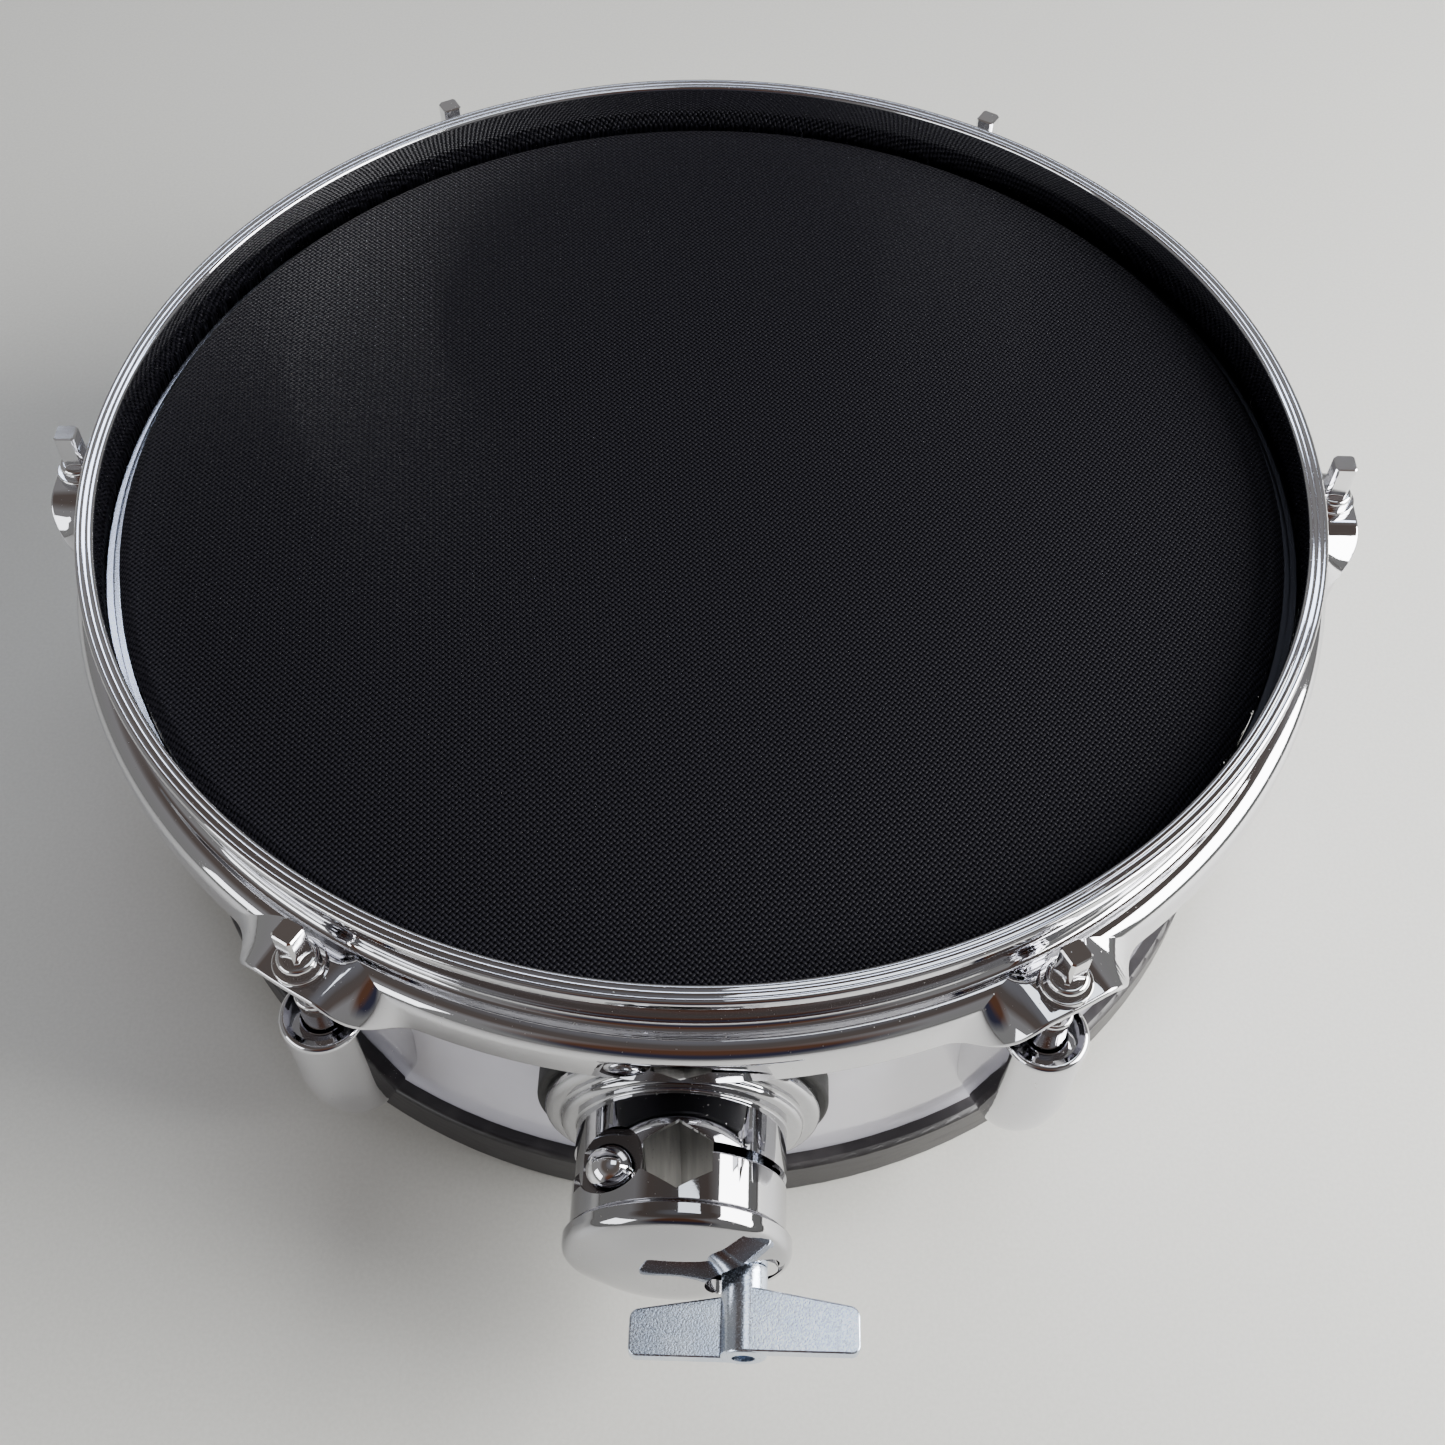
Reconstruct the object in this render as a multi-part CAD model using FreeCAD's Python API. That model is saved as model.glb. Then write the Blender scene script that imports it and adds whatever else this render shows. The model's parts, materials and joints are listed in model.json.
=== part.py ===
import FreeCAD, Part
import math
import os

# A twelve-inch mesh-head drum practice pad on a rack clamp, in millimetres.
# The origin is on the drum's axis, at the plane that the bottom trim ring rests on.
# +Z is up and the rack clamp points towards -Y.

V = FreeCAD.Vector
UP = V(0, 0, 1)
OUT = V(0, -1, 0)
RADIAL = V(1, 0, 0)

# Driving dimensions
TOTAL_HEIGHT = 122.0
SHELL_RADIUS = 152.4
SHELL_WALL = 6.0
LUG_COUNT = 6
ROD_CIRCLE = 167.2
CLAMP_HEIGHT = 57.0
HEX_ACROSS_FLATS = 15.5

# Fits and gaps
FIT = 0.05
GAP = 0.3

# Shell and bottom trim ring
SHELL_BOTTOM = 2.5
SHELL_INSIDE = SHELL_RADIUS - SHELL_WALL
BEARING_EDGE = TOTAL_HEIGHT - 12.5
BEARING_RADIUS = SHELL_RADIUS - 3.0
TRIM_RADIUS = 156.5
TRIM_HEIGHT = 15.5
TRIM_LIP_HEIGHT = 7.0
TRIM_LIP_WALL = 2.5

# Head: woven mesh over the bearing edge, held in a flesh hoop
MESH_THICKNESS = 0.7
MESH_TOP = BEARING_EDGE + 0.1 + MESH_THICKNESS
COLLAR_RADIUS = SHELL_RADIUS + 0.8
FLESH_RADIUS = 160.6
FLESH_TOP = 103.7
FLESH_HEIGHT = 5.7

# Hoop: rolled lip, wall, flange and skirt, with an ear at each rod
HOOP_INSIDE = 155.1
HOOP_WALL = 2.2
LIP_RADIUS = 160.0
LIP_DEPTH = 3.4
FLANGE_TOP = 106.2
FLANGE_THICKNESS = 2.2
SKIRT_RADIUS = 164.9
SKIRT_BOTTOM = 93.0
EAR_FRONT = 173.8
EAR_HALF_WIDTH = 12.5
EAR_CORNER = 9.0
EAR_FOOT = 25.0
EAR_ROOT = 159.0
EAR_ROUND = 2.0
EAR_LIP = 2.9
EAR_OPENING = 16.0

# Tension rods, washers and swivel nuts
ROD_RADIUS = 2.9
ROD_END = 58.0
ROD_HEAD_TOP = TOTAL_HEIGHT - 1.1
ROD_SQUARE = 5.6
ROD_HEAD_RADIUS = 3.45
ROD_COLLAR_RADIUS = 4.8
ROD_COLLAR_HEIGHT = 2.6
WASHER_RADIUS = 6.1
WASHER_THICKNESS = 1.6
NUT_RADIUS = 4.35
NUT_TOP = 92.5
NUT_BOTTOM = 54.0

# Lugs: a round tower that narrows to a rounded tail on the shell
LUG_TOP = 82.0
LUG_BOTTOM = 29.0
LUG_HALF_WIDTH = 10.0
LUG_FRONT = ROD_CIRCLE + LUG_HALF_WIDTH
LUG_SCREW_HEIGHTS = (38.0, 64.0)
LUG_SCREW_RADIUS = 2.5
LUG_SCREW_LENGTH = 15.0
LUG_SCREW_HEAD = (4.5, 3.2)
LUG_SCREW_WASHER = (6.0, 1.2)

# Rack clamp, measured outwards from the drum's axis
GASKET_RADIUS = 34.8
GASKET_FACE = 154.6
FLANGE_RADIUS = 32.7
CLAMP_RADIUS = 24.8
DOME_RADIUS = 26.2
HEX_OUT = 177.3
HEX_CLOSING = 2.2
BASE_FACE = 172.8
JAW_FACE = 174.8
DOME_START = 186.4
DOME_END = 197.5
PIN_X = -15.2
PIN_OUT = 176.0
PIN_RADIUS = 2.5
KNUCKLE_RADIUS = 7.3
KNUCKLE_HALF_HEIGHT = 7.0
PIN_HEAD_SEAT = CLAMP_HEIGHT + 12.4
PIN_HEAD_RADIUS = 5.8
ARM_SIDE = HEX_ACROSS_FLATS / 2 + 0.3
BOLT_X = 15.5
BOLT_RADIUS = 4.0
BOLT_SEAT = 192.0
BOLT_SLOT = 3.4
BOLT_WASHER = (7.5, 1.2)
BOSS_RADIUS = 5.2
BOSS_END = 213.0
WING_SPAN = 51.0
WING_THICKNESS = 3.8
CLAMP_SCREW_HEIGHTS = (CLAMP_HEIGHT - 17.0, CLAMP_HEIGHT + 17.0)
CLAMP_SCREW_RADIUS = 3.0
CLAMP_SCREW_HEAD = (5.8, 4.2)
BACKING_PLATE = (22.0, 2.5, 27.0)

# Trigger inside the shell
BRIDGE_TOP = 76.0
BRIDGE_THICKNESS = 2.5
BRIDGE_WIDTH = 30.0
BRIDGE_FOOT_BOTTOM = 28.0
CUSHION = (30.0, 5.0)
SENSOR_PLATE = (32.0, 1.2)
HEAD_PIEZO = (17.5, 0.4)
RIM_PIEZO = (13.5, 0.4)
CONE_RADII = (17.0, 7.0)

# Output jack in the shell's back
JACK_HEIGHT = 45.0
JACK_BORE = 3.2
JACK_BUSHING = 4.7
JACK_OUTER_END = SHELL_RADIUS + 7.0
JACK_INNER_END = SHELL_INSIDE - 24.0
JACK_HOUSING = 18.0
JACK_OPENING = 15.0
JACK_PLATE_SIZE = (30.0, 24.0)
JACK_PLATE_FACE = SHELL_RADIUS + 2.2
JACK_NUT = (7.2, 2.6)


def cylinder(radius, start, end, axis=UP, x=0.0, y=0.0, z=0.0):
    """A cylinder along an axis through (x, y, z), from distance start to distance end."""
    return Part.makeCylinder(radius, end - start, V(x, y, z) + axis * start, axis)


def tube(outer, inner, start, end, axis=UP, x=0.0, y=0.0, z=0.0):
    """A cylinder with a hole along its axis."""
    hole = cylinder(inner, start - 1, end + 1, axis, x, y, z)
    return cylinder(outer, start, end, axis, x, y, z).cut(hole)


def block(x0, x1, out0, out1, z0, z1):
    """A box between two X, two outward (-Y) and two Z values."""
    return Part.makeBox(x1 - x0, out1 - out0, z1 - z0, V(x0, -out1, z0))


def outline(corners, place):
    """A closed wire through corners (u, v, radius), each rounded by its radius."""
    count = len(corners)
    cuts = []
    for i, (u, v, radius) in enumerate(corners):
        corner = V(u, v, 0)
        back = (V(*corners[i - 1][:2], 0) - corner).normalize()
        ahead = (V(*corners[(i + 1) % count][:2], 0) - corner).normalize()
        if radius == 0:
            cuts.append((corner, None, corner))
            continue
        half = back.getAngle(ahead) / 2
        setback = radius / math.tan(half)
        middle = (back + ahead).normalize()
        top = corner + middle * (radius / math.sin(half) - radius)
        cuts.append((corner + back * setback, top, corner + ahead * setback))
    edges = []
    for i, (start, top, end) in enumerate(cuts):
        if top is not None:
            edges.append(Part.Arc(place(start), place(top), place(end)).toShape())
        following = cuts[(i + 1) % count][0]
        if (following - end).Length > 1e-6:
            edges.append(Part.makeLine(place(end), place(following)))
    return Part.Wire(edges)


def rectangle(width, height, rounding, u=0.0, v=0.0):
    """Corners of a rectangle about (u, v) for an outline."""
    signs = ((-1, -1), (1, -1), (1, 1), (-1, 1))
    return [(u + a * width / 2, v + b * height / 2, rounding) for a, b in signs]


def hexagon(corner_radius, u=0.0, v=0.0, start=0.0):
    """Sharp corners of a regular hexagon about (u, v), the first at the angle start."""
    angles = [start + k * math.pi / 3 for k in range(6)]
    return [(u + corner_radius * math.cos(a), v + corner_radius * math.sin(a), 0) for a in angles]


def turned(corners):
    """A solid of revolution about the drum's axis; corners are (radius, height, rounding)."""
    section = Part.Face(outline(corners, lambda p: V(p.x, 0, p.y)))
    return section.revolve(V(), UP, 360)


def turned_outwards(corners, x=0.0):
    """A solid of revolution about a clamp axis; corners are (radius, distance out, rounding)."""
    section = Part.Face(outline(corners, lambda p: V(x + p.x, -p.y, CLAMP_HEIGHT)))
    return section.revolve(V(x, 0, CLAMP_HEIGHT), OUT, 360)


def extruded(corners, bottom, top):
    """A prism on a rounded plan outline."""
    face = Part.Face(outline(corners, lambda p: V(p.x, p.y, bottom)))
    return face.extrude(UP * (top - bottom))


def at_lug(shape, index):
    """A copy of a shape drawn at angle 0, turned to lug number index."""
    copy = shape.copy()
    copy.rotate(V(), UP, -120 + 360 / LUG_COUNT * index)
    return copy


def around(shape):
    """Six copies of a shape, one at each lug, as one group of separate solids."""
    return Part.makeCompound([at_lug(shape, i) for i in range(LUG_COUNT)])


# Shell, trim ring and head

def make_shell():
    shell = turned([
        (SHELL_INSIDE, SHELL_BOTTOM, 0),
        (SHELL_RADIUS, SHELL_BOTTOM, 0),
        (SHELL_RADIUS, BEARING_EDGE - 5.0, 2.0),
        (BEARING_RADIUS - 0.2, BEARING_EDGE, 0.3),
        (BEARING_RADIUS - 0.8, BEARING_EDGE, 0.2),
        (SHELL_INSIDE, BEARING_EDGE - 2.8, 0),
    ])
    for height in LUG_SCREW_HEIGHTS:
        hole = cylinder(LUG_SCREW_RADIUS + GAP, SHELL_INSIDE - 2, SHELL_RADIUS + 2, RADIAL, z=height)
        shell = shell.cut([at_lug(hole, i) for i in range(LUG_COUNT)])
    for height in CLAMP_SCREW_HEIGHTS:
        hole = cylinder(CLAMP_SCREW_RADIUS + GAP, SHELL_INSIDE - 2, SHELL_RADIUS + 2, OUT, z=height)
        shell = shell.cut(hole)
    half = JACK_OPENING / 2
    low, high = JACK_HEIGHT - half, JACK_HEIGHT + half
    return shell.cut(block(-half, half, -SHELL_RADIUS - 2, 2 - SHELL_INSIDE, low, high))


def make_bottom_trim_ring():
    seat = SHELL_BOTTOM - FIT
    inside = SHELL_INSIDE - FIT
    return turned([
        (inside - TRIM_LIP_WALL, 0, 0.8),
        (TRIM_RADIUS, 0, 1.2),
        (TRIM_RADIUS, TRIM_HEIGHT, 1.4),
        (SHELL_RADIUS + FIT, TRIM_HEIGHT, 0),
        (SHELL_RADIUS + FIT, seat, 0),
        (inside, seat, 0),
        (inside, TRIM_LIP_HEIGHT, 0),
        (inside - TRIM_LIP_WALL, TRIM_LIP_HEIGHT, 0.8),
    ])


def make_mesh_head():
    bottom = FLESH_TOP - FLESH_HEIGHT + 1.0
    under = MESH_TOP - MESH_THICKNESS
    return turned([
        (0, under, 0),
        (BEARING_RADIUS + 0.3, under, 1.5),
        (COLLAR_RADIUS - MESH_THICKNESS, BEARING_EDGE - 3.6, 2.0),
        (COLLAR_RADIUS - MESH_THICKNESS, bottom, 0),
        (COLLAR_RADIUS, bottom, 0),
        (COLLAR_RADIUS, BEARING_EDGE - 3.4, 2.7),
        (BEARING_RADIUS + 0.6, MESH_TOP, 2.2),
        (0, MESH_TOP, 0),
    ])


def make_flesh_hoop():
    inside = COLLAR_RADIUS + FIT
    bottom = FLESH_TOP - FLESH_HEIGHT
    return turned([
        (inside, bottom, 0.6),
        (FLESH_RADIUS, bottom, 0.8),
        (FLESH_RADIUS, FLESH_TOP, 0.8),
        (inside, FLESH_TOP, 0.6),
    ])


# Hoop

def ear_block(inset, bottom, top):
    """An ear's solid in plan: a rounded front that slopes back on both sides to the skirt."""
    front = EAR_FRONT - inset
    side = EAR_HALF_WIDTH - 0.45 * inset
    foot = EAR_FOOT - 0.35 * inset
    foot_radius = math.sqrt(SKIRT_RADIUS**2 - EAR_FOOT**2) - inset
    corner = EAR_CORNER - inset
    return extruded([
        (EAR_ROOT, -foot, 0),
        (foot_radius, -foot, 0),
        (front, -side, corner),
        (front, side, corner),
        (foot_radius, foot, 0),
        (EAR_ROOT, foot, 0),
    ], bottom, top)


def make_hoop():
    underside = FLANGE_TOP - FLANGE_THICKNESS
    wall_outside = HOOP_INSIDE + HOOP_WALL
    ring = turned([
        (HOOP_INSIDE, underside, 0),
        (SKIRT_RADIUS - HOOP_WALL, underside, 0),
        (SKIRT_RADIUS - HOOP_WALL, SKIRT_BOTTOM, 0),
        (SKIRT_RADIUS, SKIRT_BOTTOM, 0),
        (SKIRT_RADIUS, FLANGE_TOP, 3.2),
        (wall_outside, FLANGE_TOP, 3.0),
        (wall_outside, TOTAL_HEIGHT - LIP_DEPTH, 0.4),
        (LIP_RADIUS, TOTAL_HEIGHT - LIP_DEPTH, 0.8),
        (LIP_RADIUS, TOTAL_HEIGHT, 1.2),
        (HOOP_INSIDE, TOTAL_HEIGHT, 1.0),
    ])
    ear = ear_block(0, SKIRT_BOTTOM, FLANGE_TOP)
    upper = [e for e in ear.Edges if e.BoundBox.ZMin > FLANGE_TOP - 0.1]
    ear = ear.makeFillet(EAR_ROUND, [e for e in upper if e.BoundBox.XMax > SKIRT_RADIUS])
    inside = ear_block(HOOP_WALL, SKIRT_BOTTOM - 1, underside)
    rise = FLANGE_TOP - EAR_LIP - SKIRT_BOTTOM
    arch = (rise * rise + EAR_OPENING**2) / (2 * rise)
    arch_height = SKIRT_BOTTOM + rise - arch
    opening = cylinder(arch, SKIRT_RADIUS - HOOP_WALL - 1, EAR_FRONT + 2, RADIAL, z=arch_height)
    rod_hole = cylinder(ROD_RADIUS + GAP, underside - 2, FLANGE_TOP + 2, x=ROD_CIRCLE)
    hoop = ring.fuse([at_lug(ear, i) for i in range(LUG_COUNT)])
    cutters = [at_lug(s, i) for s in (inside, opening, rod_hole) for i in range(LUG_COUNT)]
    hollow = cylinder(SKIRT_RADIUS - HOOP_WALL, SKIRT_BOTTOM - 1, underside)
    return hoop.cut([hollow, *cutters]).removeSplitter()


# Tension rods and lugs

def make_rod_washer():
    bottom = FLANGE_TOP + FIT
    top = bottom + WASHER_THICKNESS
    washer = tube(WASHER_RADIUS, ROD_RADIUS + GAP, bottom, top, x=ROD_CIRCLE)
    outer_edge = [e for e in washer.Edges if e.BoundBox.ZMin > top - 0.1 and e.Length > 30]
    return washer.makeFillet(0.4, outer_edge)


def make_tension_rod():
    collar_bottom = FLANGE_TOP + WASHER_THICKNESS + 2 * FIT
    collar_top = collar_bottom + ROD_COLLAR_HEIGHT
    shaft = cylinder(ROD_RADIUS, ROD_END, collar_bottom + 1, x=ROD_CIRCLE)
    collar = cylinder(ROD_COLLAR_RADIUS, collar_bottom, collar_top, x=ROD_CIRCLE)
    collar = collar.makeFillet(1.1, [collar.Edges[0]])
    square = rectangle(ROD_SQUARE, ROD_SQUARE, 0, u=ROD_CIRCLE)
    bar = cylinder(ROD_HEAD_RADIUS, collar_top - 1, ROD_HEAD_TOP, x=ROD_CIRCLE)
    head = extruded(square, collar_top - 1, ROD_HEAD_TOP).common(bar)
    head = head.makeChamfer(0.35, [e for e in head.Edges if e.BoundBox.ZMin > ROD_HEAD_TOP - 0.1])
    rod = shaft.fuse([collar, head])
    tip = [e for e in rod.Edges if e.BoundBox.ZMax < ROD_END + 0.1]
    return rod.removeSplitter().makeChamfer(0.8, tip)


def make_swivel_nut():
    nut = tube(NUT_RADIUS, ROD_RADIUS + FIT, NUT_BOTTOM, NUT_TOP, x=ROD_CIRCLE)
    top = [e for e in nut.Edges if e.BoundBox.ZMin > NUT_TOP - 0.1 and e.Length > 25]
    return nut.makeFillet(0.7, top)


def lug_section(height, half_width, front):
    """A lug's plan at one height: two straight sides and a round nose."""
    back = SHELL_INSIDE
    nose = front - half_width
    left, right = V(nose, half_width, height), V(nose, -half_width, height)
    return Part.Wire([
        Part.makeLine(V(back, -half_width, height), right),
        Part.Arc(right, V(front, 0, height), left).toShape(),
        Part.makeLine(left, V(back, half_width, height)),
        Part.makeLine(V(back, half_width, height), V(back, -half_width, height)),
    ])


def make_lug():
    tail_start = 60.0
    tail_half_width, tail_front = 5.0, 161.5
    tower = Part.Face(lug_section(tail_start, LUG_HALF_WIDTH, LUG_FRONT))
    tower = tower.extrude(UP * (LUG_TOP - tail_start))
    tower = tower.makeFillet(1.4, [e for e in tower.Edges if e.BoundBox.ZMin > LUG_TOP - 0.1])
    levels = 6
    sections = []
    for k in range(levels + 1):
        turn = math.pi / 2 * k / levels
        height = tail_start - (tail_start - LUG_BOTTOM) * math.sin(turn)
        half_width = tail_half_width + (LUG_HALF_WIDTH - tail_half_width) * math.cos(turn)
        front = tail_front + (LUG_FRONT - tail_front) * math.cos(turn) ** 0.8
        sections.append(lug_section(height, half_width, front))
    tail = Part.makeLoft(sections, True, False)
    lug = tower.fuse(tail)
    dish = Part.makeCone(5.2, 7.4, 1.6, V(ROD_CIRCLE, 0, LUG_TOP - 1.6))
    hole = cylinder(NUT_RADIUS + 0.55, NUT_BOTTOM + 7, LUG_TOP + 1, x=ROD_CIRCLE)
    seat = cylinder(NUT_RADIUS + FIT, NUT_BOTTOM - FIT, NUT_BOTTOM + 8, x=ROD_CIRCLE)
    screw_end = SHELL_INSIDE + LUG_SCREW_LENGTH
    screws = [
        cylinder(LUG_SCREW_RADIUS, SHELL_RADIUS - 1, screw_end, RADIAL, z=height)
        for height in LUG_SCREW_HEIGHTS
    ]
    shell_space = cylinder(SHELL_RADIUS + FIT, 0, LUG_TOP + 10)
    return lug.cut([dish, hole, seat, shell_space, *screws]).removeSplitter()


def inner_face(index):
    """Where the lug screws' washers sit: on the shell, or on a foot of the sensor bridge."""
    on_bridge = index in (2, 5)
    return SHELL_INSIDE - 0.2 - (BRIDGE_THICKNESS + 0.6 if on_bridge else 0)


def make_lug_screws():
    head_radius, head_height = LUG_SCREW_HEAD
    washer_thickness = LUG_SCREW_WASHER[1]
    screws = []
    for i in range(LUG_COUNT):
        for height in LUG_SCREW_HEIGHTS:
            face = inner_face(i) - washer_thickness - FIT
            end = SHELL_INSIDE + LUG_SCREW_LENGTH - 0.5
            shaft = cylinder(LUG_SCREW_RADIUS, face - 1, end, RADIAL, z=height)
            head = cylinder(head_radius, face - head_height, face, RADIAL, z=height)
            inner_end = face - head_height + 0.1
            head = head.makeFillet(1.2, [e for e in head.Edges if e.BoundBox.XMax < inner_end])
            screws.append(at_lug(shaft.fuse(head).removeSplitter(), i))
    return Part.makeCompound(screws)


def make_lug_screw_washers():
    radius, thickness = LUG_SCREW_WASHER
    washers = []
    for i in range(LUG_COUNT):
        for height in LUG_SCREW_HEIGHTS:
            face = inner_face(i)
            washer = tube(radius, LUG_SCREW_RADIUS + GAP, face - thickness, face, RADIAL, z=height)
            washers.append(at_lug(washer, i))
    return Part.makeCompound(washers)


# Rack clamp

def hex_prism(centre_out):
    """Room for a hexagonal rack rod, upright, with two corners on the clamp's centre line."""
    corner_radius = HEX_ACROSS_FLATS / 2 / math.cos(math.pi / 6)
    corners = hexagon(corner_radius, v=-centre_out, start=math.pi / 2)
    return extruded(corners, CLAMP_HEIGHT - 40, CLAMP_HEIGHT + 40)


def pin_cylinder(radius, bottom, top):
    return cylinder(radius, bottom, top, x=PIN_X, y=-PIN_OUT)


def knuckle_ends(radius):
    """Upper and lower slices of a cylinder about the hinge pin, outside the jaw's knuckle."""
    split = KNUCKLE_HALF_HEIGHT
    upper = pin_cylinder(radius, CLAMP_HEIGHT + split, CLAMP_HEIGHT + 40)
    lower = pin_cylinder(radius, CLAMP_HEIGHT - 40, CLAMP_HEIGHT - split)
    return [upper, lower]


def make_clamp_gasket():
    gasket = turned_outwards([
        (0, 140, 0),
        (GASKET_RADIUS, 140, 0),
        (GASKET_RADIUS, GASKET_FACE, 1.0),
        (0, GASKET_FACE, 0),
    ])
    holes = [
        cylinder(CLAMP_SCREW_RADIUS + GAP, 139, GASKET_FACE + 1, OUT, z=height)
        for height in CLAMP_SCREW_HEIGHTS
    ]
    return gasket.cut([cylinder(SHELL_RADIUS + FIT, 0, TOTAL_HEIGHT), *holes])


def make_clamp_base():
    back = GASKET_FACE + FIT
    plate_front = back + 4.0
    step_front = plate_front + 2.6
    base = turned_outwards([
        (0, back, 0),
        (FLANGE_RADIUS, back, 0.6),
        (FLANGE_RADIUS, plate_front, 2.2),
        (28.6, plate_front, 0.8),
        (28.6, step_front, 1.6),
        (CLAMP_RADIUS, step_front, 0.6),
        (CLAMP_RADIUS, PIN_OUT, 0),
        (0, PIN_OUT, 0),
    ])
    right_side = block(-HEX_ACROSS_FLATS / 2, 40, BASE_FACE, 200, 0, 120)
    base = base.cut(right_side)
    body = cylinder(CLAMP_RADIUS, 165, DOME_START, OUT, z=CLAMP_HEIGHT)
    knuckles = [end.common(body) for end in knuckle_ends(KNUCKLE_RADIUS)]
    base = base.fuse(knuckles)
    split = KNUCKLE_HALF_HEIGHT + GAP / 2
    low, high = CLAMP_HEIGHT - split, CLAMP_HEIGHT + split
    jaw_space = pin_cylinder(KNUCKLE_RADIUS + GAP, low, high)
    swing_space = block(-40, -ARM_SIDE + GAP, PIN_OUT - KNUCKLE_RADIUS - GAP, 190, low, high)
    head_pocket = pin_cylinder(PIN_HEAD_RADIUS + 1.6, PIN_HEAD_SEAT, PIN_HEAD_SEAT + 20)
    pin_hole = pin_cylinder(PIN_RADIUS, CLAMP_HEIGHT - 30, CLAMP_HEIGHT + 30)
    bolt_hole = cylinder(BOLT_RADIUS + FIT, step_front, 190, OUT, x=BOLT_X, z=CLAMP_HEIGHT)
    screw_holes = [
        cylinder(CLAMP_SCREW_RADIUS, back - 1, back + 10.5, OUT, z=height)
        for height in CLAMP_SCREW_HEIGHTS
    ]
    cutters = [hex_prism(HEX_OUT), jaw_space, swing_space, head_pocket, pin_hole, bolt_hole]
    return base.cut([*cutters, *screw_holes]).removeSplitter()


def make_clamp_jaw():
    jaw = turned_outwards([
        (0, JAW_FACE, 0),
        (CLAMP_RADIUS, JAW_FACE, 0.6),
        (CLAMP_RADIUS, DOME_START, 0.6),
        (DOME_RADIUS, DOME_START + 1.0, 0.6),
        (DOME_RADIUS, DOME_END - 6.0, 3.2),
        (13.0, DOME_END, 30.0),
        (0, DOME_END, 0),
    ])
    left_clear = block(-40, -ARM_SIDE, JAW_FACE - 5, PIN_OUT, 0, 120)
    split = KNUCKLE_HALF_HEIGHT - GAP / 2
    swing = PIN_OUT + 3.5
    upper_clear = block(-40, -ARM_SIDE, JAW_FACE - 5, swing, CLAMP_HEIGHT + split, 120)
    lower_clear = block(-40, -ARM_SIDE, JAW_FACE - 5, swing, 0, CLAMP_HEIGHT - split)
    corner_clear = block(-ARM_SIDE - 1, -HEX_ACROSS_FLATS / 2 + 1, JAW_FACE - 5, PIN_OUT, 0, 120)
    jaw = jaw.cut([left_clear, upper_clear, lower_clear, corner_clear])
    body = cylinder(CLAMP_RADIUS, 165, DOME_START, OUT, z=CLAMP_HEIGHT)
    knuckle = pin_cylinder(KNUCKLE_RADIUS, CLAMP_HEIGHT - split, CLAMP_HEIGHT + split).common(body)
    jaw = jaw.fuse(knuckle)
    ends = []
    for end in knuckle_ends(KNUCKLE_RADIUS + GAP):
        shift = GAP / 2 if end.BoundBox.ZMax < CLAMP_HEIGHT else -GAP / 2
        end.translate(UP * shift)
        ends.append(end)
    bolt_start = cylinder(BOLT_RADIUS + 0.5, 170, 200, OUT, x=BOLT_X, z=CLAMP_HEIGHT)
    bolt_end = cylinder(BOLT_RADIUS + 0.5, 170, 200, OUT, x=BOLT_X + BOLT_SLOT, z=CLAMP_HEIGHT)
    half = BOLT_RADIUS + 0.5
    bolt_middle = block(BOLT_X, BOLT_X + BOLT_SLOT, 170, 200, CLAMP_HEIGHT - half, CLAMP_HEIGHT + half)
    seat = cylinder(BOLT_WASHER[0] + 1.5, BOLT_SEAT, 205, OUT, x=BOLT_X, z=CLAMP_HEIGHT)
    pin_hole = pin_cylinder(PIN_RADIUS + FIT, CLAMP_HEIGHT - 30, CLAMP_HEIGHT + 30)
    # With no rod in it the jaw closes further in, so its half of the socket sits closer to the base
    socket = hex_prism(HEX_OUT - HEX_CLOSING)
    cutters = [socket, *ends, bolt_start, bolt_end, bolt_middle, seat, pin_hole]
    return jaw.cut(cutters).removeSplitter()


def make_hinge_pin():
    bottom = CLAMP_HEIGHT - 17.0
    shaft = pin_cylinder(PIN_RADIUS, bottom, PIN_HEAD_SEAT + 1)
    head = Part.makeSphere(PIN_HEAD_RADIUS, V(PIN_X, -PIN_OUT, PIN_HEAD_SEAT + 0.6))
    below = Part.makeBox(20, 20, 20, V(PIN_X - 10, -PIN_OUT - 10, PIN_HEAD_SEAT + FIT - 20))
    return shaft.fuse(head.cut(below)).removeSplitter()


def make_wing_bolt_washer():
    radius, thickness = BOLT_WASHER
    start = BOLT_SEAT + FIT
    return tube(radius, BOLT_RADIUS + FIT, start, start + thickness, OUT, x=BOLT_X, z=CLAMP_HEIGHT)


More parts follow.
